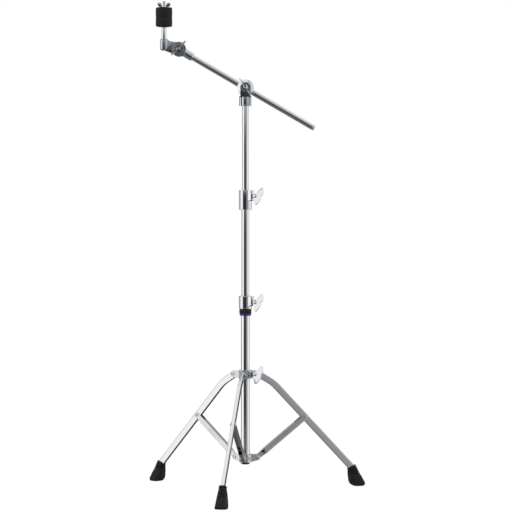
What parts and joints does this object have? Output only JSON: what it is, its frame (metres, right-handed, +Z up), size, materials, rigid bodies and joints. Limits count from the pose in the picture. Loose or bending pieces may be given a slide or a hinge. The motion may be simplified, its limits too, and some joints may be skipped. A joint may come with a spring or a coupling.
{
  "type": "boom cymbal stand",
  "caption": "Folding tripod stand with telescoping tubes, a tilting counterweight boom and a felt-padded cymbal seat held by a wing nut.",
  "frame": {"origin": "on the floor, under the middle of the stand's bounding box; the column axis stands at x -0.0311, y 0.0594", "axes": "+Z up along the column; the boom's seat end points to -X and the front leg points to -Y"},
  "size_m": [0.6395, 0.6124, 1.4055],
  "materials": {
    "tube_chrome": "bright polished chrome plate",
    "cast_chrome": "chrome plate over a casting, slightly soft edges",
    "collar_chrome": "chrome plate over pressed steel",
    "leg_chrome": "chrome plate over rolled channel",
    "rivet": "bright yellowish plated rivet",
    "boot_rubber": "matt moulded rubber",
    "black_plastic": "moulded, fine satin grain",
    "accent_plastic": "moulded violet blue",
    "nylon": "moulded dark nylon",
    "felt": "pressed dark felt"
  },
  "bodies": {
    "base": {"base_tube": "tube_chrome", "base_tube_plug": "black_plastic", "lower_collar": "collar_chrome", "lower_collar_screw": "cast_chrome", "brace_base_rivet_front": "rivet", "brace_base_rivet_left": "rivet", "brace_base_rivet_right": "rivet", "lower_clamp": "cast_chrome", "lower_clamp_skirt": "black_plastic", "accent_ring": "accent_plastic", "lower_clamp_washer": "black_plastic"},
    "collar": {"upper_collar": "collar_chrome", "upper_collar_bush": "nylon", "upper_collar_washer": "black_plastic", "leg_top_stud_front_a": "rivet", "leg_top_stud_front_b": "rivet", "leg_top_stud_left_a": "rivet", "leg_top_stud_left_b": "rivet", "leg_top_stud_right_a": "rivet", "leg_top_stud_right_b": "rivet"},
    "collar_bolt": {"upper_collar_wing_bolt": "cast_chrome"},
    "lower_clamp_bolt": {"lower_clamp_wing_bolt": "cast_chrome"},
    "lower_bush": {"lower_clamp_bush": "nylon"},
    "middle": {"middle_tube": "tube_chrome", "upper_clamp": "cast_chrome", "upper_clamp_washer": "black_plastic"},
    "upper_clamp_bolt": {"upper_clamp_wing_bolt": "cast_chrome"},
    "upper_bush": {"upper_clamp_bush": "nylon"},
    "upper": {"upper_tube": "tube_chrome", "tilter_base": "cast_chrome", "tilter_washer": "cast_chrome"},
    "boom_clamp": {"tilter_disc": "cast_chrome", "tilter_eye_bolt": "cast_chrome"},
    "tilter_nut": {"tilter_wing_nut": "cast_chrome"},
    "rod_liner": {"tilter_rod_liner": "nylon"},
    "boom": {"boom_rod": "tube_chrome", "boom_end_cap": "tube_chrome", "boom_ferrule": "cast_chrome", "cymbal_tilter_nut": "cast_chrome"},
    "cymbal_tilter": {"cymbal_tilter_arm": "cast_chrome", "cymbal_post": "tube_chrome", "cymbal_sleeve": "black_plastic", "lower_felt": "felt", "upper_felt": "felt"},
    "cymbal_bolt": {"cymbal_tilter_wing_bolt": "cast_chrome"},
    "seat_washer": {"top_washer": "cast_chrome"},
    "seat_nut": {"top_wing_nut": "cast_chrome"},
    "brace_front": {"brace_front": "leg_chrome", "leg_brace_rivet_front": "rivet"},
    "leg_front": {"leg_front": "leg_chrome", "foot_front": "boot_rubber"},
    "brace_left": {"brace_left": "leg_chrome", "leg_brace_rivet_left": "rivet"},
    "leg_left": {"leg_left": "leg_chrome", "foot_left": "boot_rubber"},
    "brace_right": {"brace_right": "leg_chrome", "leg_brace_rivet_right": "rivet"},
    "leg_right": {"leg_right": "leg_chrome", "foot_right": "boot_rubber"}
  },
  "joints": [
    {"name": "fold_front", "type": "hinge", "parent": "base", "child": "brace_front", "pos_m": [-0.03744, 0.02399, 0.096], "axis": [-0.9842, 0.1771, 0], "range_deg": [0, 46.2]},
    {"name": "leg_turn_front", "type": "hinge", "parent": "brace_front", "child": "leg_front", "pos_m": [-0.06347, -0.12069, 0.208], "axis": [-0.9842, 0.1771, 0], "range_deg": [-90.01, 0]},
    {"name": "fold_left", "type": "hinge", "parent": "base", "child": "brace_left", "pos_m": [-0.05856, 0.08266, 0.096], "axis": [0.6455, 0.7638, 0], "range_deg": [0, 46.2]},
    {"name": "leg_turn_left", "type": "hinge", "parent": "brace_left", "child": "leg_left", "pos_m": [-0.17084, 0.17754, 0.208], "axis": [0.6455, 0.7638, 0], "range_deg": [-90.01, 0]},
    {"name": "fold_right", "type": "hinge", "parent": "base", "child": "brace_right", "pos_m": [0.00281, 0.07162, 0.096], "axis": [0.3387, -0.9409, 0], "range_deg": [0, 46.2]},
    {"name": "leg_turn_right", "type": "hinge", "parent": "brace_right", "child": "leg_right", "pos_m": [0.14112, 0.12141, 0.208], "axis": [0.3387, -0.9409, 0], "range_deg": [-90.01, 0]},
    {"name": "collar_slide", "type": "slide", "parent": "base", "child": "collar", "axis": [0, 0, 1], "range_m": [0, 0.13562]},
    {"name": "collar_bolt_turn", "type": "hinge", "parent": "collar", "child": "collar_bolt", "pos_m": [-0.03106, 0.05942, 0.335], "axis": [0.766, -0.6428, 0], "range_deg": [0, 720]},
    {"name": "lower_clamp_bolt_turn", "type": "hinge", "parent": "base", "child": "lower_clamp_bolt", "pos_m": [-0.03106, 0.05942, 0.541], "axis": [0.766, -0.6428, 0], "range_deg": [0, 720]},
    {"name": "middle_tube_turn", "type": "hinge", "parent": "base", "child": "lower_bush", "pos_m": [-0.03106, 0.05942, 0.55], "axis": [0, 0, 1], "continuous": true},
    {"name": "middle_tube_slide", "type": "slide", "parent": "lower_bush", "child": "middle", "axis": [0, 0, 1], "range_m": [-0.245, 0.06]},
    {"name": "upper_clamp_bolt_turn", "type": "hinge", "parent": "middle", "child": "upper_clamp_bolt", "pos_m": [-0.03106, 0.05942, 0.844], "axis": [0.766, -0.6428, 0], "range_deg": [0, 720]},
    {"name": "upper_tube_turn", "type": "hinge", "parent": "middle", "child": "upper_bush", "pos_m": [-0.03106, 0.05942, 0.855], "axis": [0, 0, 1], "continuous": true},
    {"name": "upper_tube_slide", "type": "slide", "parent": "upper_bush", "child": "upper", "axis": [0, 0, 1], "range_m": [-0.238, 0.07]},
    {"name": "boom_tilt", "type": "hinge", "parent": "upper", "child": "boom_clamp", "pos_m": [-0.03046, 0.05942, 1.157], "axis": [0, 1, 0], "range_deg": [-75, 55]},
    {"name": "tilter_nut_turn", "type": "hinge", "parent": "boom_clamp", "child": "tilter_nut", "pos_m": [-0.03046, 0.04222, 1.157], "axis": [0, -1, 0], "range_deg": [0, 720]},
    {"name": "rod_roll", "type": "hinge", "parent": "boom_clamp", "child": "rod_liner", "pos_m": [-0.03046, 0.08292, 1.157], "axis": [-0.8643, 0, 0.503], "continuous": true},
    {"name": "rod_slide", "type": "slide", "parent": "rod_liner", "child": "boom", "axis": [-0.8643, 0, 0.503], "range_m": [-0.08, 0.12]},
    {"name": "cymbal_tilt", "type": "hinge", "parent": "boom", "child": "cymbal_tilter", "pos_m": [-0.22156, 0.06362, 1.26822], "axis": [0, 1, 0], "range_deg": [-60, 60]},
    {"name": "cymbal_bolt_turn", "type": "hinge", "parent": "boom", "child": "cymbal_bolt", "pos_m": [-0.22156, 0.05662, 1.26822], "axis": [0, -1, 0], "range_deg": [0, 720]},
    {"name": "seat_nut_rise", "type": "slide", "parent": "cymbal_tilter", "child": "seat_washer", "axis": [0, 0, 1], "range_m": [0, 0.005]},
    {"name": "seat_nut_turn", "type": "hinge", "parent": "seat_washer", "child": "seat_nut", "pos_m": [-0.26447, 0.06392, 1.395], "axis": [0, 0, 1], "range_deg": [0, 1440]}
  ],
  "couplings": [
    {"joint": "leg_turn_front", "follows": "fold_front", "ratio": -1.9377},
    {"joint": "fold_left", "follows": "fold_front", "ratio": 1},
    {"joint": "leg_turn_left", "follows": "fold_front", "ratio": -1.9377},
    {"joint": "fold_right", "follows": "fold_front", "ratio": 1},
    {"joint": "leg_turn_right", "follows": "fold_front", "ratio": -1.9377},
    {"joint": "collar_slide", "follows": "fold_front", "m_per_rad": 0.16759},
    {"joint": "seat_nut_rise", "follows": "seat_nut_turn", "m_per_rad": 0.00019894}
  ]
}
